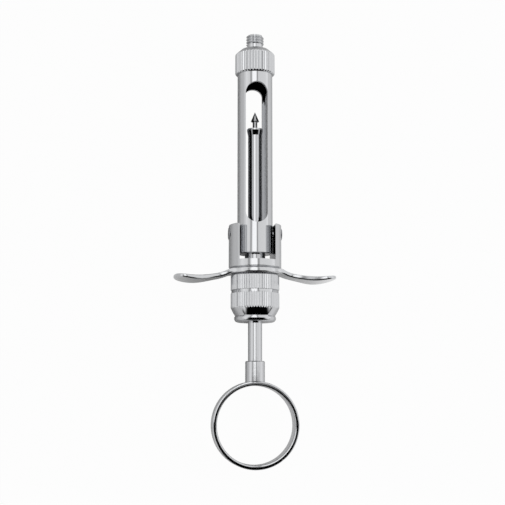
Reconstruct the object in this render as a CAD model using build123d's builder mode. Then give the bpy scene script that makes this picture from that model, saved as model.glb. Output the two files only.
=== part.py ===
from build123d import *
import os
from math import cos, hypot, pi, radians

# Breech-loading dental syringe, lying on its back.
# The barrel's axis is Y, the needle end points to +Y, and the windows face +Z.
# The origin is on that axis, on the collar's front face, where a needle hub seats.
# A depth is a distance behind that face, so a point at a depth stands at y = -depth.

os.makedirs("parts", exist_ok=True)

# Driving dimensions, in millimetres

# Needle adaptor
thread_d = 5.49
thread_len = 3.0
thread_tip_chamfer = 0.35
spigot_neck_d = 4.9
spigot_neck_len = 1.7
needle_bore_d = 2.4
collar_d = 12.4
collar_len = 8.1
collar_face_d = 8.6
collar_bevel_len = 1.75
collar_rear_chamfer = 0.4
collar_ribs = 38
collar_rib_depth = 0.3
front_wall = 1.6

# Barrel and its windows
barrel_d = 10.9
barrel_wall = 0.9
barrel_len = 63.3
barrel_rear_chamfer = 0.2
window_land = 3.3
window_len = 44.1
front_window_w = 6.85
rear_window_w = 5.6

# Fork and pivot screws
pivot_setback = 6.3
fork_d = 16.2
ear_above_pivot = 2.7
ear_round = 0.3
fork_base_len = 2.5
fork_base_chamfer = 0.5
stem_d = 12.0
stem_wall = 1.0
stem_end_gap = 0.5
screw_head_d = 4.0
screw_head_len = 1.15
screw_head_round = 0.25
screw_proud = 0.15
screw_shank_d = 2.2
screw_slot_w = 0.55
screw_slot_depth = 0.4
screw_slot_angle = 25.0
screw_end_gap = 0.05

# Finger grip
grip_span = 50.0
grip_thickness = 1.6
grip_root_thickness = 1.5
grip_wing_thickness = 1.36
grip_tip_thickness = 1.0
grip_hub_d = 16.4
grip_waist_x = 10.8
grip_waist_w = 7.0
grip_paddle_x = 18.5
grip_paddle_w = 12.4
grip_flat_x = 7.0
grip_root_x = 9.0
grip_root_fall = 0.65
grip_fall_x = 13.2
grip_fall = 1.85
grip_valley = 2.5
grip_tip_drop = 1.9
grip_tip_slope = 0.2
grip_edge_round = 0.45

# Grip nut and rear cap
nut_d = 14.9
nut_len = 4.9
nut_front_chamfer = 0.5
body_ribs = 56
body_rib_depth = 0.22
groove_share = 0.72
cap_land_d = 14.5
cap_land_len = 1.0
cap_d = 14.9
cap_knurl_len = 4.4
cap_shoulder_len = 2.5
cap_shoulder_slope = 0.4
cap_neck_d = 12.2
bead_d = 12.8
bead_len = 1.9
bead_face_d = 10.6
bead_crest_share = 0.45
cap_bore_len = 5.0

# Locking sleeve, collar and spring
sleeve_grip_len = 1.0
sleeve_lead = 0.25
sleeve_neck_d = 6.3
sleeve_thread_d = 5.5
lock_travel = 3.1
guide_len = 4.15
stop_collar_d = 9.2
stop_collar_len = 1.6
spring_wire_d = 0.55
spring_coil_d = 8.2
spring_turns = 5

# Plunger rod, harpoon and thumb ring
rod_d = 4.3
rod_head_d = 5.0
rod_head_rim = 0.5
rod_head_taper = 1.6
rod_len = 76.7
rod_stand_out = 11.77
harpoon_d = 2.6
harpoon_point_len = 3.1
harpoon_neck_len = 2.5
harpoon_undercut = 0.5
harpoon_shank_d = 1.45
harpoon_thread_len = 3.0
ferrule_d = 6.0
ferrule_len = 6.1
ferrule_edge = 0.25
rod_in_ferrule = 4.6
ring_d = 26.4
ring_thickness = 1.35
ring_w = 6.0
ring_edge_round = 0.45

# Named clearances
slot_play = 0.05
swing_play = 0.1
head_play = 0.1
slide_play = 0.07
rod_play = 0.08
counterbore_play = 0.1
stop_gap = 0.05
travel_gap = 0.05
harpoon_cover = 0.3

# Places along the axis, as depths behind the needle seat
barrel_front = front_wall
barrel_rear = barrel_front + barrel_len
window_front = collar_len + window_land
pivot_depth = barrel_rear - pivot_setback
ear_front = pivot_depth - ear_above_pivot
barrel_swing = hypot(pivot_setback, barrel_d / 2)
slot_floor = pivot_depth + barrel_swing + swing_play
fork_rear = slot_floor + fork_base_len
grip_rear = fork_rear + grip_thickness
nut_rear = grip_rear + nut_len
cap_knurl_front = nut_rear + cap_land_len
cap_knurl_rear = cap_knurl_front + cap_knurl_len
cap_neck = cap_knurl_rear + cap_shoulder_len
cap_rear = cap_neck + bead_len
spring_seat = nut_rear + cap_bore_len
stem_rear = spring_seat - stem_end_gap

sleeve_front = barrel_rear - sleeve_grip_len
pocket_floor = barrel_rear + lock_travel + travel_gap
guide_rear = pocket_floor + guide_len
collar_stop = guide_rear + stop_gap
sleeve_rear = collar_stop + stop_collar_len

ferrule_depth = cap_rear + rod_stand_out
rod_rear = ferrule_depth + rod_in_ferrule
rod_head_depth = rod_rear - rod_len
harpoon_barb = rod_head_depth - harpoon_neck_len
harpoon_tip = harpoon_barb - harpoon_point_len
rod_taper_rear = rod_head_depth + rod_head_rim + rod_head_taper
plunger_back_travel = sleeve_front + harpoon_cover - harpoon_tip
rod_pocket_floor = rod_taper_rear + plunger_back_travel + stop_gap
ring_top = ferrule_depth + ferrule_len
ring_centre = ring_top + ring_d / 2
plunger_forward_travel = ferrule_depth - cap_rear - travel_gap
print("plunger travel from", -plunger_back_travel, "to", plunger_forward_travel, "lock travel", -lock_travel)


def rib_groove(diameter, ribs, depth):
    """One V groove between two straight ribs, drawn at the rim, with its point inwards."""
    rim_half_w = groove_share * pi * diameter / ribs / 2
    over = depth / 2
    over_half_w = rim_half_w * (depth + over) / depth
    Polygon((over, -over_half_w), (over, over_half_w), (-depth, 0), align=None)


# Needle adaptor: one turned piece, threaded spigot in front and knurled collar behind
with BuildPart() as needle_adaptor:
    with BuildSketch(Plane.XY):
        with BuildLine():
            Polyline(
                (needle_bore_d / 2, spigot_neck_len + thread_len),
                (thread_d / 2 - thread_tip_chamfer, spigot_neck_len + thread_len),
                (thread_d / 2, spigot_neck_len + thread_len - thread_tip_chamfer),
                (thread_d / 2, spigot_neck_len),
                (spigot_neck_d / 2, spigot_neck_len),
                (spigot_neck_d / 2, 0),
                (collar_face_d / 2, 0),
                (collar_d / 2, -collar_bevel_len),
                (collar_d / 2, -collar_len + collar_rear_chamfer),
                (collar_d / 2 - collar_rear_chamfer, -collar_len),
                (barrel_d / 2, -collar_len),
                (barrel_d / 2, -front_wall),
                (needle_bore_d / 2, -front_wall),
                close=True,
            )
        make_face()
    revolve(axis=Axis.Y)
    with BuildSketch(Plane.XZ):
        with PolarLocations(collar_d / 2, collar_ribs):
            rib_groove(collar_d, collar_ribs, collar_rib_depth)
    extrude(amount=collar_len, mode=Mode.SUBTRACT)
needle_adaptor.part.label = "needle_adaptor"
export_step(needle_adaptor.part, "parts/needle_adaptor.step")


# Barrel: a turned tube with round-ended windows front and back, and two tapped holes for the pivots
barrel_bore = barrel_d - 2 * barrel_wall
with BuildPart() as barrel:
    with BuildSketch(Plane.XY):
        with BuildLine():
            Polyline(
                (barrel_bore / 2, -barrel_front),
                (barrel_d / 2, -barrel_front),
                (barrel_d / 2, -barrel_rear + barrel_rear_chamfer),
                (barrel_d / 2 - barrel_rear_chamfer, -barrel_rear),
                (barrel_bore / 2 + barrel_rear_chamfer, -barrel_rear),
                (barrel_bore / 2, -barrel_rear + barrel_rear_chamfer),
                close=True,
            )
        make_face()
    revolve(axis=Axis.Y)
    with BuildSketch(Plane.XY):
        with Locations((0, -window_front - window_len / 2)):
            SlotOverall(window_len, front_window_w, rotation=90)
    extrude(amount=barrel_d, mode=Mode.SUBTRACT)
    with BuildSketch(Plane.XY):
        with Locations((0, -window_front - window_len / 2)):
            SlotOverall(window_len, rear_window_w, rotation=90)
    extrude(amount=-barrel_d, mode=Mode.SUBTRACT)
    with BuildSketch(Plane.YZ):
        with Locations((-pivot_depth, 0)):
            Circle(screw_shank_d / 2)
    extrude(amount=barrel_d, both=True, mode=Mode.SUBTRACT)
barrel.part.label = "barrel"
export_step(barrel.part, "parts/barrel.step")


# Fork: turned body, slotted across to leave two ears, with a hollow stem behind
slot_w = barrel_d + 2 * slot_play
stem_bore = stem_d - 2 * stem_wall
guide_bore = sleeve_neck_d + 2 * slide_play
screw_seat = fork_d / 2 + screw_proud - screw_head_len
with BuildPart() as fork:
    with BuildSketch(Plane.XY):
        with BuildLine():
            Polyline(
                (0, -ear_front),
                (fork_d / 2, -ear_front),
                (fork_d / 2, -fork_rear + fork_base_chamfer),
                (fork_d / 2 - fork_base_chamfer, -fork_rear),
                (stem_d / 2, -fork_rear),
                (stem_d / 2, -stem_rear),
                (stem_bore / 2, -stem_rear),
                (stem_bore / 2, -guide_rear),
                (guide_bore / 2, -guide_rear),
                (guide_bore / 2, -pocket_floor),
                (barrel_bore / 2, -pocket_floor),
                (barrel_bore / 2, -slot_floor),
                (0, -slot_floor),
                close=True,
            )
        make_face()
    revolve(axis=Axis.Y)
    with BuildSketch(Plane.XZ.offset(ear_front)):
        Rectangle(slot_w, 2 * fork_d)
    extrude(amount=slot_floor - ear_front, mode=Mode.SUBTRACT)
    fillet(fork.faces().group_by(Axis.Y)[-1].edges(), ear_round)
    with BuildSketch(Plane.YZ):
        with Locations((-pivot_depth, 0)):
            Circle(screw_shank_d / 2)
    extrude(amount=fork_d, both=True, mode=Mode.SUBTRACT)
    for side in (-1, 1):
        with BuildSketch(Plane.YZ.offset(side * screw_seat)):
            with Locations((-pivot_depth, 0)):
                Circle(screw_head_d / 2)
        extrude(amount=side * fork_d, mode=Mode.SUBTRACT)
fork.part.label = "fork"
export_step(fork.part, "parts/fork.step")


# Pivot screws: slotted heads sunk in the ears, shanks through to the barrel's wall
def pivot_screw(side):
    """A pivot screw on the left (-1) or right (1) ear, turned about X."""
    head_face = side * (fork_d / 2 + screw_proud)
    seat = side * screw_seat
    shank_end = side * (barrel_bore / 2 + screw_end_gap)
    inward = -side * screw_head_round
    head_r = screw_head_d / 2
    with BuildPart() as screw:
        with BuildSketch(Plane.XY):
            with BuildLine():
                Polyline(
                    (head_face, -pivot_depth),
                    (head_face, -pivot_depth + head_r - screw_head_round),
                    (head_face + inward, -pivot_depth + head_r),
                    (seat, -pivot_depth + head_r),
                    (seat, -pivot_depth + screw_shank_d / 2),
                    (shank_end, -pivot_depth + screw_shank_d / 2),
                    (shank_end, -pivot_depth),
                    close=True,
                )
            make_face()
        revolve(axis=Axis((0, -pivot_depth, 0), (1, 0, 0)))
        with BuildSketch(Plane.YZ.offset(head_face)):
            with Locations((-pivot_depth, 0)):
                Rectangle(2 * screw_head_d, screw_slot_w, rotation=screw_slot_angle)
        extrude(amount=-side * screw_slot_depth, mode=Mode.SUBTRACT)
    return screw.part


left_pivot_screw = pivot_screw(-1)
left_pivot_screw.label = "left_pivot_screw"
export_step(left_pivot_screw, "parts/left_pivot_screw.step")
right_pivot_screw = pivot_screw(1)
right_pivot_screw.label = "right_pivot_screw"
export_step(right_pivot_screw, "parts/right_pivot_screw.step")


# Finger grip: a plate whose wings fall behind the hub, dish and rise again to the tips
def wing_line(hub_layer, root_layer, wing_layer, tip_layer):
    """Side line of the right wing, that far behind the plate's front face at each of its places."""
    return Spline(
        (grip_flat_x, -fork_rear - hub_layer),
        (grip_root_x, -fork_rear - grip_root_fall - root_layer),
        (grip_fall_x, -fork_rear - grip_fall - wing_layer),
        (grip_paddle_x, -fork_rear - grip_valley - wing_layer),
        (grip_span / 2, -fork_rear - grip_tip_drop - tip_layer),
        tangents=((1, 0), (1, grip_tip_slope)),
    )


hub_touch = grip_hub_d / 2 * cos(radians(45))
grip_blank_front = fork_rear - grip_thickness
grip_blank_rear = grip_rear + grip_valley + grip_thickness
with BuildPart() as finger_grip:
    with BuildSketch(Plane.XY):
        with BuildLine():
            front_wing = wing_line(0, 0, 0, 0)
            rear_wing = wing_line(
                grip_thickness,
                grip_root_thickness,
                grip_wing_thickness,
                grip_tip_thickness,
            )
            Line(front_wing @ 1, rear_wing @ 1)
            Polyline(front_wing @ 0, (0, -fork_rear), (0, -grip_rear), rear_wing @ 0)
        make_face()
        mirror(about=Plane.YZ)
    extrude(amount=grip_hub_d, both=True)
    with BuildSketch(Plane.XZ.offset(grip_blank_front)):
        Circle(grip_hub_d / 2)
        with BuildLine():
            wing_edge = Spline(
                (hub_touch, hub_touch),
                (grip_waist_x, grip_waist_w / 2),
                (grip_paddle_x, grip_paddle_w / 2),
                (grip_span / 2, 0),
                tangents=((1, -1), (0, -1)),
            )
            mirror(wing_edge, about=Plane.XZ)
            Line((hub_touch, hub_touch), (hub_touch, -hub_touch))
        wing_face = make_face()
        mirror(wing_face, about=Plane.YZ)
    extrude(amount=grip_blank_rear - grip_blank_front, mode=Mode.INTERSECT)
    fillet(finger_grip.edges(), grip_edge_round)
    with BuildSketch(Plane.XZ.offset(fork_rear)):
        Circle(stem_d / 2)
    extrude(amount=grip_thickness, mode=Mode.SUBTRACT)
finger_grip.part.label = "finger_grip"
export_step(finger_grip.part, "parts/finger_grip.step")


# Grip nut: knurled ring on the fork's stem
with BuildPart() as grip_nut:
    with BuildSketch(Plane.XY):
        with BuildLine():
            Polyline(
                (stem_d / 2, -grip_rear),
                (nut_d / 2 - nut_front_chamfer, -grip_rear),
                (nut_d / 2, -grip_rear - nut_front_chamfer),
                (nut_d / 2, -nut_rear),
                (stem_d / 2, -nut_rear),
                close=True,
            )
        make_face()
    revolve(axis=Axis.Y)
    with BuildSketch(Plane.XZ.offset(grip_rear)):
        with PolarLocations(nut_d / 2, body_ribs):
            rib_groove(nut_d, body_ribs, body_rib_depth)
    extrude(amount=nut_len, mode=Mode.SUBTRACT)
grip_nut.part.label = "grip_nut"
export_step(grip_nut.part, "parts/grip_nut.step")


# Rear cap: smooth land, knurled band, rounded shoulder and a bead around the rod
rod_hole = rod_d + 2 * rod_play
with BuildPart() as rear_cap:
    with BuildSketch(Plane.XY):
        with BuildLine():
            Polyline(
                (stem_d / 2, -nut_rear),
                (cap_land_d / 2, -nut_rear),
                (cap_land_d / 2, -cap_knurl_front),
                (cap_d / 2, -cap_knurl_front),
                (cap_d / 2, -cap_knurl_rear),
            )
            shoulder = TangentArc(
                (cap_d / 2, -cap_knurl_rear),
                (cap_neck_d / 2, -cap_neck),
                tangent=(-cap_shoulder_slope, -1),
            )
            bead = ThreePointArc(
                shoulder @ 1,
                (bead_d / 2, -cap_neck - bead_crest_share * bead_len),
                (bead_face_d / 2, -cap_rear),
            )
            Polyline(
                bead @ 1,
                (rod_hole / 2, -cap_rear),
                (rod_hole / 2, -spring_seat),
                (stem_d / 2, -spring_seat),
                (stem_d / 2, -nut_rear),
            )
        make_face()
    revolve(axis=Axis.Y)
    with BuildSketch(Plane.XZ.offset(cap_knurl_front)):
        with PolarLocations(cap_d / 2, body_ribs):
            rib_groove(cap_d, body_ribs, body_rib_depth)
    extrude(amount=cap_knurl_len, mode=Mode.SUBTRACT)
rear_cap.part.label = "rear_cap"
export_step(rear_cap.part, "parts/rear_cap.step")


# Locking sleeve: its head plugs the barrel, its neck slides in the fork, the rod runs through it
sleeve_head_d = barrel_bore - 2 * head_play
rod_pocket_d = rod_head_d + 2 * counterbore_play
with BuildPart() as locking_sleeve:
    with BuildSketch(Plane.XY):
        with BuildLine():
            Polyline(
                (rod_pocket_d / 2, -sleeve_front),
                (sleeve_head_d / 2 - sleeve_lead, -sleeve_front),
                (sleeve_head_d / 2, -sleeve_front - sleeve_lead),
                (sleeve_head_d / 2, -barrel_rear),
                (sleeve_neck_d / 2, -barrel_rear),
                (sleeve_neck_d / 2, -collar_stop),
                (sleeve_thread_d / 2, -collar_stop),
                (sleeve_thread_d / 2, -sleeve_rear),
                (rod_hole / 2, -sleeve_rear),
                (rod_hole / 2, -rod_pocket_floor),
                (rod_pocket_d / 2, -rod_pocket_floor),
                close=True,
            )
        make_face()
    revolve(axis=Axis.Y)
locking_sleeve.part.label = "locking_sleeve"
export_step(locking_sleeve.part, "parts/locking_sleeve.step")


# Sleeve collar: stops the sleeve against the fork and carries the spring
with BuildPart() as sleeve_collar:
    with BuildSketch(Plane.XZ.offset(collar_stop)):
        Circle(stop_collar_d / 2)
        Circle(sleeve_thread_d / 2, mode=Mode.SUBTRACT)
    extrude(amount=stop_collar_len)
sleeve_collar.part.label = "sleeve_collar"
export_step(sleeve_collar.part, "parts/sleeve_collar.step")


# Lock spring: an open coil from the collar to the cap's end wall
spring_len = spring_seat - sleeve_rear
spring_rise = spring_len - spring_wire_d
with BuildPart() as lock_spring:
    with BuildLine():
        coil = Helix(
            pitch=spring_rise / spring_turns,
            height=spring_rise,
            radius=spring_coil_d / 2,
            center=(0, -sleeve_rear - spring_wire_d / 2, 0),
            direction=(0, -1, 0),
        )
    with BuildSketch(Plane(origin=coil @ 0, z_dir=coil % 0)):
        Circle(spring_wire_d / 2)
    sweep(path=coil, is_frenet=True)
lock_spring.part.label = "lock_spring"
export_step(lock_spring.part, "parts/lock_spring.step")


# Plunger rod: flared head in front, plain rod behind, tapped for the harpoon
with BuildPart() as plunger_rod:
    with BuildSketch(Plane.XY):
        with BuildLine():
            Polyline(
                (harpoon_shank_d / 2, -rod_head_depth),
                (rod_head_d / 2, -rod_head_depth),
                (rod_head_d / 2, -rod_head_depth - rod_head_rim),
                (rod_d / 2, -rod_taper_rear),
                (rod_d / 2, -rod_rear),
                (0, -rod_rear),
                (0, -rod_head_depth - harpoon_thread_len),
                (harpoon_shank_d / 2, -rod_head_depth - harpoon_thread_len),
                close=True,
            )
        make_face()
    revolve(axis=Axis.Y)
plunger_rod.part.label = "plunger_rod"
export_step(plunger_rod.part, "parts/plunger_rod.step")


# Harpoon: sharp point, undercut barb and a shank screwed into the rod
with BuildPart() as harpoon:
    with BuildSketch(Plane.XY):
        with BuildLine():
            Polyline(
                (0, -harpoon_tip),
                (harpoon_d / 2, -harpoon_barb),
                (harpoon_shank_d / 2, -harpoon_barb + harpoon_undercut),
                (harpoon_shank_d / 2, -rod_head_depth - harpoon_thread_len),
                (0, -rod_head_depth - harpoon_thread_len),
                close=True,
            )
        make_face()
    revolve(axis=Axis.Y)
harpoon.part.label = "harpoon"
export_step(harpoon.part, "parts/harpoon.step")


# Ring ferrule: socket for the rod, its rear end saddled on the ring
with BuildPart() as ring_ferrule:
    with BuildSketch(Plane.XZ.offset(ferrule_depth)):
        Circle(ferrule_d / 2)
    extrude(amount=ring_centre - ferrule_depth)
    chamfer(ring_ferrule.edges().group_by(Axis.Y)[-1], ferrule_edge)
    with BuildSketch(Plane.XZ.offset(ferrule_depth)):
        Circle(rod_d / 2)
    extrude(amount=rod_in_ferrule, mode=Mode.SUBTRACT)
    with BuildSketch(Plane.XY):
        with Locations((0, -ring_centre)):
            Circle(ring_d / 2)
    extrude(amount=ferrule_d, both=True, mode=Mode.SUBTRACT)
ring_ferrule.part.label = "ring_ferrule"
export_step(ring_ferrule.part, "parts/ring_ferrule.step")


# Thumb ring: a round-edged band bent to a circle
with BuildPart() as thumb_ring:
    with BuildSketch(Plane.YZ):
        with Locations((-ring_centre + (ring_d - ring_thickness) / 2, 0)):
            RectangleRounded(ring_thickness, ring_w, ring_edge_round)
    revolve(axis=Axis((0, -ring_centre, 0), (0, 0, 1)))
thumb_ring.part.label = "thumb_ring"
export_step(thumb_ring.part, "parts/thumb_ring.step")
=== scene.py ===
import math

import bmesh
import bpy
from mathutils import Matrix, Vector


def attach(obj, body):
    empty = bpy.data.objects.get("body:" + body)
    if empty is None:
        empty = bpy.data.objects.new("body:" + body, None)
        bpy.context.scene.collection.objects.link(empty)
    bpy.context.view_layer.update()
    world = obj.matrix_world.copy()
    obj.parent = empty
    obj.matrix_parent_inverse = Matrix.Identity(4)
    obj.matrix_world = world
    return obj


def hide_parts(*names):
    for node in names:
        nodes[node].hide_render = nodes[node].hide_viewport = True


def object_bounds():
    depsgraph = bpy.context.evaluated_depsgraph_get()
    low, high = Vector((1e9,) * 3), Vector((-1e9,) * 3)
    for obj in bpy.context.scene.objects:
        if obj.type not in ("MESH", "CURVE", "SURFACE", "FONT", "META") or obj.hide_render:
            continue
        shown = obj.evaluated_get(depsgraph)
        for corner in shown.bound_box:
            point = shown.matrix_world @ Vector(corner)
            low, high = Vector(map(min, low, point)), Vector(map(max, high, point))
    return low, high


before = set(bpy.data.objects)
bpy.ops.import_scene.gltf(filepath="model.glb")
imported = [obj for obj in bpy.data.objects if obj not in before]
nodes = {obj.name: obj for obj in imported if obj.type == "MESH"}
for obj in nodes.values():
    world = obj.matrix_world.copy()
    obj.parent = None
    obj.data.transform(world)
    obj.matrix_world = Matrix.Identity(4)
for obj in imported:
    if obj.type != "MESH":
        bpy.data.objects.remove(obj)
cad_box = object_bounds()

# The camera looks down on the syringe as it lies on its back, from the thumb ring's side and a
# little from the left, as a product photograph is taken with a short telephoto lens.
twist = math.radians(7.8)
rise = math.radians(7.5)
lens_to_part = 0.339
sideways_shift = 0.00077
aim = Vector((0, -0.06428, 0))
back = Vector((-math.sin(twist) * math.cos(rise), -math.sin(rise), math.cos(twist) * math.cos(rise)))
right = Vector((0, 1, 0)).cross(back).normalized()
up = back.cross(right)
camera_turn = Matrix((right, up, back)).transposed().to_4x4()
lens = bpy.data.cameras.new("camera")
sensor = 36
picture_px = 505
lens_px = 1100
lens.sensor_width = sensor
lens.lens = sensor * lens_px / picture_px
camera = bpy.data.objects.new("camera", lens)
camera.matrix_world = Matrix.Translation(aim + back * lens_to_part - right * sideways_shift) @ camera_turn
bpy.context.scene.collection.objects.link(camera)
bpy.context.scene.camera = camera
bpy.context.scene.view_settings.view_transform = "Standard"


def add(tree, kind, settings=None, links=None):
    """Adds one node; settings are its properties or inputs, links are its inputs' sources."""
    node = tree.nodes.new(kind)
    for key, value in (settings or {}).items():
        if isinstance(key, str) and hasattr(node, key):
            setattr(node, key, value)
        else:
            node.inputs[key].default_value = value
    for key, source in (links or {}).items():
        tree.links.new(source, node.inputs[key])
    return node


def grey_steps(node, steps, low, high):
    """Sets a colour ramp to grey levels at places between low and high."""
    ramp = node.color_ramp
    while len(ramp.elements) < len(steps):
        ramp.elements.new(0.5)
    for element, (place, level) in zip(ramp.elements, steps):
        element.position = (place - low) / (high - low)
        element.color = (level, level, level, 1)


# The studio is a white tent whose seams show as thin grey lines in the chrome. The photographer
# stands at the ring's side in dark clothes, and polished metal that faces there shows black.
tent = bpy.data.worlds.new("tent")
tent.use_nodes = True
sky = tent.node_tree
sky.nodes.clear()
full_glow = 2.0
ray = add(sky, "ShaderNodeTexCoord").outputs["Generated"]
way = add(sky, "ShaderNodeSeparateXYZ", {}, {0: ray})
around = add(sky, "ShaderNodeMath", {"operation": "ARCTAN2"}, {0: way.outputs[0], 1: way.outputs[2]})
turn = add(sky, "ShaderNodeMath", {"operation": "ADD", 1: twist}, {0: around.outputs[0]})
circle = add(sky, "ShaderNodeMapRange", {1: -math.pi, 2: math.pi}, {0: turn.outputs[0]})
panels = add(sky, "ShaderNodeValToRGB", {}, {0: circle.outputs[0]})
# Degrees to the right of straight up, and the tent's brightness there.
panel_levels = [(-180, 0.45), (-95, 0.60), (-75, 0.85), (-58, 1.15), (-45, 1.05), (-33, 0.98), (-29, 0.50),
                (-24, 0.48), (-20, 1.0), (-14, 1.55), (9, 1.55), (13, 0.5), (18, 0.48), (22, 1.0), (75, 1.05),
                (90, 1.2), (105, 0.9), (130, 0.6)]
grey_steps(panels, [(angle, level / full_glow) for angle, level in panel_levels], -180, 180)

# How far a direction leans to the side: the sine of its turn, less where it runs along the barrel.
person_shift = 0.1
along = add(sky, "ShaderNodeMath", {"operation": "MULTIPLY"}, {0: way.outputs[1], 1: way.outputs[1]})
left_over = add(sky, "ShaderNodeMath", {"operation": "SUBTRACT", 0: 1.0}, {1: along.outputs[0]})
reach = add(sky, "ShaderNodeMath", {"operation": "SQRT"}, {0: left_over.outputs[0]})
sideways = add(sky, "ShaderNodeMath", {"operation": "SINE"}, {0: turn.outputs[0]})
aside = add(sky, "ShaderNodeMath", {"operation": "MULTIPLY"}, {0: sideways.outputs[0], 1: reach.outputs[0]})
leaning = add(sky, "ShaderNodeMath", {"operation": "SUBTRACT", 1: person_shift}, {0: aside.outputs[0]})
off_side = add(sky, "ShaderNodeMath", {"operation": "ABSOLUTE"}, {0: leaning.outputs[0]})


def brighten(source, dark_to, light_from):
    """Black up to one value and full light from another, with a soft edge between."""
    edge = {"interpolation_type": "SMOOTHSTEP", 1: dark_to, 2: light_from}
    return add(sky, "ShaderNodeMapRange", edge, {0: source}).outputs[0]


def pick(operation, one, other):
    """The larger or the smaller of two values."""
    return add(sky, "ShaderNodeMath", {"operation": operation}, {0: one, 1: other}).outputs[0]


person = pick("MAXIMUM", brighten(off_side.outputs[0], 0.62, 0.82), brighten(way.outputs[1], 0.0, 0.02))
room = pick("MAXIMUM", brighten(off_side.outputs[0], 0.8, 0.9), brighten(way.outputs[2], 0.0, 0.25))
doorway = pick("MAXIMUM", room, brighten(way.outputs[1], -0.4, -0.2))
open_tent = pick("MINIMUM", person, doorway)
lit = add(sky, "ShaderNodeMix", {"data_type": "RGBA", "blend_type": "MULTIPLY", 0: 1.0},
          {6: panels.outputs[0], 7: open_tent})
seen = add(sky, "ShaderNodeLightPath")
plain = 1 / full_glow
shown = add(sky, "ShaderNodeMix", {"data_type": "RGBA", 7: (plain, plain, plain, 1)},
            {0: seen.outputs["Is Camera Ray"], 6: lit.outputs[2]})
glow = add(sky, "ShaderNodeBackground", {1: full_glow}, {0: shown.outputs[2]})
add(sky, "ShaderNodeOutputWorld", {}, {0: glow.outputs[0]})
bpy.context.scene.world = tent


def tone(code):
    """An sRGB hex colour as the linear colour that Blender's nodes take."""
    parts = [int(code[i:i + 2], 16) / 255 for i in (1, 3, 5)]
    return [c / 12.92 if c <= 0.04045 else ((c + 0.055) / 1.055) ** 2.4 for c in parts] + [1.0]


# A sheet of matt white board that the syringe lies on. The camera sees it almost white, with the syringe's
# faint shadow. Chrome mirrors it with a painted glow set by position: painted shade close to the syringe and
# painted light on the lamp's side.
board_reach = 3
board_middle = -0.065
under_part = 0.00002
floor_mesh = bpy.data.meshes.new("floor")
shape = bmesh.new()
bmesh.ops.create_grid(shape, x_segments=1, y_segments=1, size=board_reach)
bmesh.ops.translate(shape, verts=shape.verts, vec=(0, board_middle, cad_box[0][2] - under_part))
shape.to_mesh(floor_mesh)
shape.free()
floor = bpy.data.objects.new("floor", floor_mesh)
bpy.context.scene.collection.objects.link(floor)
board = bpy.data.materials.new("white_board")
board.use_nodes = True
tree = board.node_tree
tree.nodes.clear()
matt = add(tree, "ShaderNodeBsdfDiffuse", {0: tone("#BEBEBE")})
bright = add(tree, "ShaderNodeEmission", {0: (1, 1, 1, 1), 1: 1.0})
path = add(tree, "ShaderNodeLightPath")
by_camera = add(tree, "ShaderNodeMath", {"operation": "MULTIPLY", 1: 0.97},
                {0: path.outputs["Is Camera Ray"]})
where = add(tree, "ShaderNodeSeparateXYZ", {}, {0: add(tree, "ShaderNodeTexCoord").outputs["Object"]})
painted_glow_half = 50
across = add(tree, "ShaderNodeMapRange", {1: -painted_glow_half / 1000, 2: painted_glow_half / 1000}, {0: where.outputs[0]})
painted_glow = add(tree, "ShaderNodeValToRGB", {}, {0: across.outputs[0]})
# Millimetres to the right of the barrel's axis, and how much painted white glow reflections see in the board
# there: painted shade near the syringe, painted light towards the lamp.
painted_glow_levels = [(-50, 0.55), (-28, 0.45), (-13, 0.08), (0, 0.05), (12, 0.3), (30, 0.8)]
grey_steps(painted_glow, painted_glow_levels, -painted_glow_half, painted_glow_half)
mirrored = add(tree, "ShaderNodeMath", {"operation": "MAXIMUM"},
               {0: path.outputs["Is Glossy Ray"], 1: path.outputs["Is Transmission Ray"]})
# Glossy rays get the painted glow, which stands in for the syringe's shade and the lamp's light on the board.
by_gloss = add(tree, "ShaderNodeMath", {"operation": "MULTIPLY"},
               {0: mirrored.outputs[0], 1: painted_glow.outputs[0]})
white = add(tree, "ShaderNodeMath", {"operation": "ADD"}, {0: by_camera.outputs[0], 1: by_gloss.outputs[0]})
mixed = add(tree, "ShaderNodeMixShader", {}, {0: white.outputs[0], 1: matt.outputs[0], 2: bright.outputs[0]})
add(tree, "ShaderNodeOutputMaterial", {}, {0: mixed.outputs[0]})
floor_mesh.materials.append(board)

# The lamp is a softbox at the right, above the syringe. The chrome doesn't mirror it, since the
# tent's wall hangs between them.
softbox = bpy.data.lights.new("softbox", "AREA")
softbox.shape = "RECTANGLE"
softbox.size = 0.5
softbox.size_y = 0.5
softbox.energy = 1.2
lamp = bpy.data.objects.new("softbox", softbox)
lamp_place = Vector((0.5, -0.02, 0.45))
lamp_turn = Vector((0.5, 0.04, 0.45)).to_track_quat("Z", "Y").to_matrix().to_4x4()
lamp.matrix_world = Matrix.Translation(lamp_place) @ lamp_turn
lamp.visible_glossy = False
bpy.context.scene.collection.objects.link(lamp)


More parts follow.
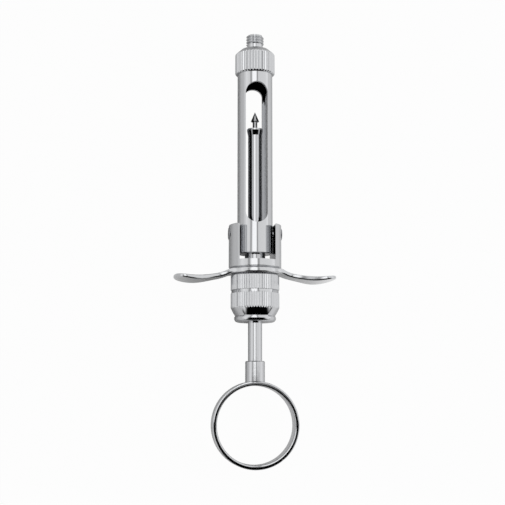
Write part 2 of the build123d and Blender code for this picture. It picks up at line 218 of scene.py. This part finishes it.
def polished(name, code, roughness, haze, lines, lines_across, eased):
    """Metal after turning and buffing, which looks nearly clean but never perfectly so.

    The haze is clouds of about 1 mm where the polish is duller, and lines is the depth of the fine
    marks that the wheel left. lines_across has a small number for each axis along which they run.
    eased is the radius in millimetres that polishing leaves on a sharp rim.
    """
    metal = bpy.data.materials.new(name)
    metal.use_nodes = True
    tree = metal.node_tree
    tree.nodes.clear()
    place = add(tree, "ShaderNodeTexCoord").outputs["Object"]
    cloud = add(tree, "ShaderNodeTexNoise", {"Scale": 900.0, "Detail": 4.0}, {"Vector": place})
    smear = add(tree, "ShaderNodeMapRange", {1: 0.3, 2: 0.7, 3: roughness, 4: roughness + haze},
                {0: cloud.outputs[0]})
    stretch = add(tree, "ShaderNodeMapping", {"Scale": lines_across}, {0: place})
    buff = add(tree, "ShaderNodeTexNoise", {"Scale": 1000.0, "Detail": 3.0}, {"Vector": stretch.outputs[0]})
    rims = add(tree, "ShaderNodeBevel", {"samples": 4, "Radius": eased / 1000})
    relief = add(tree, "ShaderNodeBump", {"Strength": lines, "Distance": 0.00001},
                 {"Height": buff.outputs[0], "Normal": rims.outputs[0]})
    face = add(tree, "ShaderNodeBsdfPrincipled", {"Base Color": tone(code), "Metallic": 1.0},
               {"Roughness": smear.outputs[0], "Normal": relief.outputs[0]})
    add(tree, "ShaderNodeOutputMaterial", {}, {0: face.outputs[0]})
    return metal


def dress(node_name, metal):
    """Gives a solid of the frame its finish."""
    for place in nodes[node_name].material_slots:
        place.material = metal


def turned(profile, steps, ease):
    """A lathe-turned solid: closed profile of (radius, y) in millimetres, with its sharp rims eased."""
    shape = bmesh.new()
    corners = [shape.verts.new((r / 1000, y / 1000, 0)) for r, y in profile]
    sides = [shape.edges.new(pair) for pair in zip(corners, corners[1:] + corners[:1])]
    bmesh.ops.spin(shape, geom=corners + sides, cent=(0, 0, 0), axis=(0, 1, 0), angle=2 * math.pi,
                   steps=steps, use_merge=True)
    weld = 0.0000005
    bmesh.ops.remove_doubles(shape, verts=shape.verts, dist=weld)
    bmesh.ops.dissolve_degenerate(shape, edges=shape.edges, dist=weld)
    bmesh.ops.recalc_face_normals(shape, faces=shape.faces)
    rims = [e for e in shape.edges if e.calc_face_angle(0) > math.radians(25)]
    bmesh.ops.bevel(shape, geom=rims, offset=ease / 1000, segments=3, profile=0.5, affect="EDGES",
                    material=-1)
    return shape


def pull_in(vert, limit):
    """Moves a point straight towards the syringe's axis until it is no further out than limit."""
    radius = math.hypot(vert.co.x, vert.co.z)
    if radius > limit:
        vert.co.x *= limit / radius
        vert.co.z *= limit / radius


def roll_ribs(shape, rim, depth, ribs, rear, front):
    """Presses straight V grooves into a turned solid, as a knurling wheel does."""
    grooved = 0.8
    for v in shape.verts:
        if rear / 1000 <= v.co.y <= front / 1000:
            place = (math.atan2(v.co.x, v.co.z) / (2 * math.pi) * ribs) % 1
            sunk = max(0.0, 1 - abs(place - 0.5) * 2 / grooved)
            pull_in(v, (rim - depth * sunk) / 1000)


def piece(name, shape, metal, body, stands_for):
    """Finishes a new piece: smooth faces with crisp rims, its finish, and the body it rides on."""
    mesh = bpy.data.meshes.new(name)
    shape.to_mesh(mesh)
    shape.free()
    mesh.shade_smooth()
    mesh.set_sharp_from_angle(angle=math.radians(30))
    mesh.materials.append(metal)
    made = bpy.data.objects.new(name, mesh)
    bpy.context.scene.collection.objects.link(made)
    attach(made, body)
    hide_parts(stands_for)


# The needle adaptor is a brass collar, turned, knurled and chromed, that carries the threaded
# spigot for the needle's hub. It sits on the barrel's front end. Chrome on buffed brass mirrors
# nearly cleanly, and its wheel marks run along the ribs.
chromed_brass = polished("polished_chrome_on_brass", "#C9CACC", 0.05, 0.05, 0.05, (1, 0.05, 1), 0.08)
collar_r = 6.2
collar_rear = -8.1
collar_ribs = 38
seat_r = 5.45
bore_r = 1.2
face_r = 4.3
cone_fall = 0.875
spigot_tip = 4.7
cone = [(face_r + 0.3 * i, -0.3 * i * cone_fall) for i in range(6)]
outline = [(bore_r, spigot_tip), (2.3, spigot_tip), (2.3, 1.95), (2.45, 1.7), (2.45, 0)] + cone
outline += [(5.95, -1.44), (collar_r, -1.75), (collar_r, -2.1), (collar_r, -7.4), (collar_r, -7.7),
            (5.8, collar_rear), (seat_r, collar_rear), (seat_r, -1.6), (bore_r, -1.6)]
steps_per_rib = 8
adaptor = turned(outline, collar_ribs * steps_per_rib, 0.06)
roll_ribs(adaptor, collar_r, 0.3, collar_ribs, -8.2, -0.1)

# The spigot's thread is the imperial one of dental needles, 28 turns to the inch, cut on the lathe.
pitch = 25.4 / 28
turns = 3.5
steps_a_turn = 48
thread_start = 4.75
runout = 1.72
chamfered_end = 4.68
root_r = 2.2
crest_r = 2.745
thread = bmesh.new()
tooth = [(root_r, 0.42), (crest_r, 0.07), (crest_r, -0.07), (root_r, -0.42)]
corners = [thread.verts.new((r / 1000, (y + thread_start) / 1000, 0)) for r, y in tooth]
sides = [thread.edges.new(pair) for pair in zip(corners, corners[1:] + corners[:1])]
bmesh.ops.spin(thread, geom=corners + sides, cent=(0, 0, 0), axis=(0, 1, 0), angle=2 * math.pi * turns,
               dvec=(0, -pitch / steps_a_turn / 1000, 0), steps=int(steps_a_turn * turns))
bmesh.ops.holes_fill(thread, edges=thread.edges, sides=4)
bmesh.ops.recalc_face_normals(thread, faces=thread.faces)
tip_r = 2.35
for v in thread.verts:
    v.co.y = min(max(v.co.y, runout / 1000), chamfered_end / 1000)
    pull_in(v, (tip_r + spigot_tip) / 1000 - v.co.y)
joined = bpy.data.meshes.new("thread")
thread.to_mesh(joined)
thread.free()
adaptor.from_mesh(joined)
bpy.data.meshes.remove(joined)
piece("needle_adaptor_knurled", adaptor, chromed_brass, "body", "needle_adaptor")
dress("needle_adaptor", chromed_brass)

# The barrel is a brass tube with milled windows, buffed as it turns and then chromed. Its fine
# marks run round it, and its rims are rounded by the wheel.
chromed_tube = polished("polished_chrome_on_tube", "#C9CACC", 0.04, 0.05, 0.05, (0.05, 1, 0.05), 0.09)
dress("barrel", chromed_tube)

# The fork is turned and milled from brass, and holds the barrel between its ears. It is buffed and
# chromed like the collar.
dress("fork", chromed_brass)

# The two pivot screws are turned from stainless steel and not plated, so they look darker and a
# little satin beside the chrome. They are screwed through the ears into the barrel.
screw_steel = polished("turned_stainless_screw", "#8E8F92", 0.12, 0.08, 0.15, (0.05, 1, 1), 0.06)
dress("left_pivot_screw", screw_steel)
dress("right_pivot_screw", screw_steel)

# The finger grip is pressed from brass plate, with its edges rounded, and chromed. The nut clamps
# its hub against the fork.
dress("finger_grip", chromed_brass)

# The grip nut is a knurled brass ring that is screwed on the fork's stem. Its ribs are finer than
# the collar's, and it is chromed with the rest.
nut_r = 7.45
stem_r = 6.0
nut_front = -71.13
nut_rear = -76.03
grip_ribs = 56
rib_depth = 0.22
nut = turned([(stem_r, nut_front), (6.95, nut_front), (nut_r, -71.63), (nut_r, -71.9), (nut_r, -75.8),
              (nut_r, nut_rear), (stem_r, nut_rear)], grip_ribs * steps_per_rib, 0.06)
roll_ribs(nut, nut_r, rib_depth, grip_ribs, -76.1, -71.0)
piece("grip_nut_knurled", nut, chromed_brass, "body", "grip_nut")
dress("grip_nut", chromed_brass)


def arc_through(start, middle, end, count):
    """Points on the circle through three points, the first left out and the last kept."""
    (ax, ay), (bx, by), (cx, cy) = start, middle, end
    twice_area = 2 * (ax * (by - cy) + bx * (cy - ay) + cx * (ay - by))
    a2, b2, c2 = ax * ax + ay * ay, bx * bx + by * by, cx * cx + cy * cy
    ux = (a2 * (by - cy) + b2 * (cy - ay) + c2 * (ay - by)) / twice_area
    uy = (a2 * (cx - bx) + b2 * (ax - cx) + c2 * (bx - ax)) / twice_area
    first = math.atan2(ay - uy, ax - ux)
    last = math.atan2(cy - uy, cx - ux)
    radius = math.hypot(ax - ux, ay - uy)
    angles = [first + (last - first) * i / count for i in range(1, count + 1)]
    return [(ux + radius * math.cos(a), uy + radius * math.sin(a)) for a in angles]


# The rear cap is turned from brass with a knurled band, a rounded shoulder and a bead, and chromed.
# It is screwed on the stem behind the nut and guides the plunger rod.
band_front = -77.03
band_rear = -81.43
neck = (6.1, -83.93)
rear_face = -85.83
spring_seat = -81.03
rod_hole_r = 2.23
shoulder = arc_through((nut_r, band_rear), (6.88, -82.65), neck, 12)
bead = arc_through(neck, (6.4, -84.785), (5.3, rear_face), 14)
band = [(nut_r, band_front), (nut_r, -77.3), (nut_r, -81.2), (nut_r, band_rear)]
cap = turned([(stem_r, nut_rear), (7.25, nut_rear), (7.25, band_front)] + band + shoulder + bead
             + [(rod_hole_r, rear_face), (rod_hole_r, spring_seat), (stem_r, spring_seat)],
             grip_ribs * steps_per_rib, 0.05)
roll_ribs(cap, nut_r, rib_depth, grip_ribs, -81.44, -77.0)
piece("rear_cap_knurled", cap, chromed_brass, "body", "rear_cap")
dress("rear_cap", chromed_brass)

# The locking sleeve plugs the barrel's rear end, and its collar stops it inside the fork. Both are
# turned from stainless steel, a shade duller than chrome.
sleeve_steel = polished("turned_stainless_sleeve", "#BDBEC0", 0.07, 0.06, 0.12, (0.05, 1, 0.05), 0.05)
dress("locking_sleeve", sleeve_steel)
dress("sleeve_collar", sleeve_steel)

# The lock spring is coiled from drawn wire and sits behind the collar, so it is grey and satin.
spring_steel = polished("drawn_spring_wire", "#9C9C9E", 0.2, 0.12, 0.1, (1, 1, 1), 0.02)
dress("lock_spring", spring_steel)

# The plunger rod and the socket that is fixed on its rear end are steel, ground between wheels and
# polished, so their marks run round them and hardly show.
plunger_steel = polished("centreless_ground_rod", "#C6C7C9", 0.05, 0.05, 0.1, (0.05, 1, 0.05), 0.05)
dress("plunger_rod", plunger_steel)
dress("ring_ferrule", plunger_steel)

# The harpoon is a small steel point screwed into the rod's head. It is ground sharp and left
# unpolished, so it is duller than the rod.
harpoon_steel = polished("ground_harpoon_steel", "#A9AAAC", 0.16, 0.1, 0.3, (0.05, 1, 0.05), 0.02)
dress("harpoon", harpoon_steel)

# The thumb ring is bent from a flat brass band, brazed on the socket, buffed across its width and
# chromed.
ring_chrome = polished("buffed_chrome_band", "#C9CACC", 0.05, 0.05, 0.05, (1, 1, 0.05), 0.1)
dress("thumb_ring", ring_chrome)
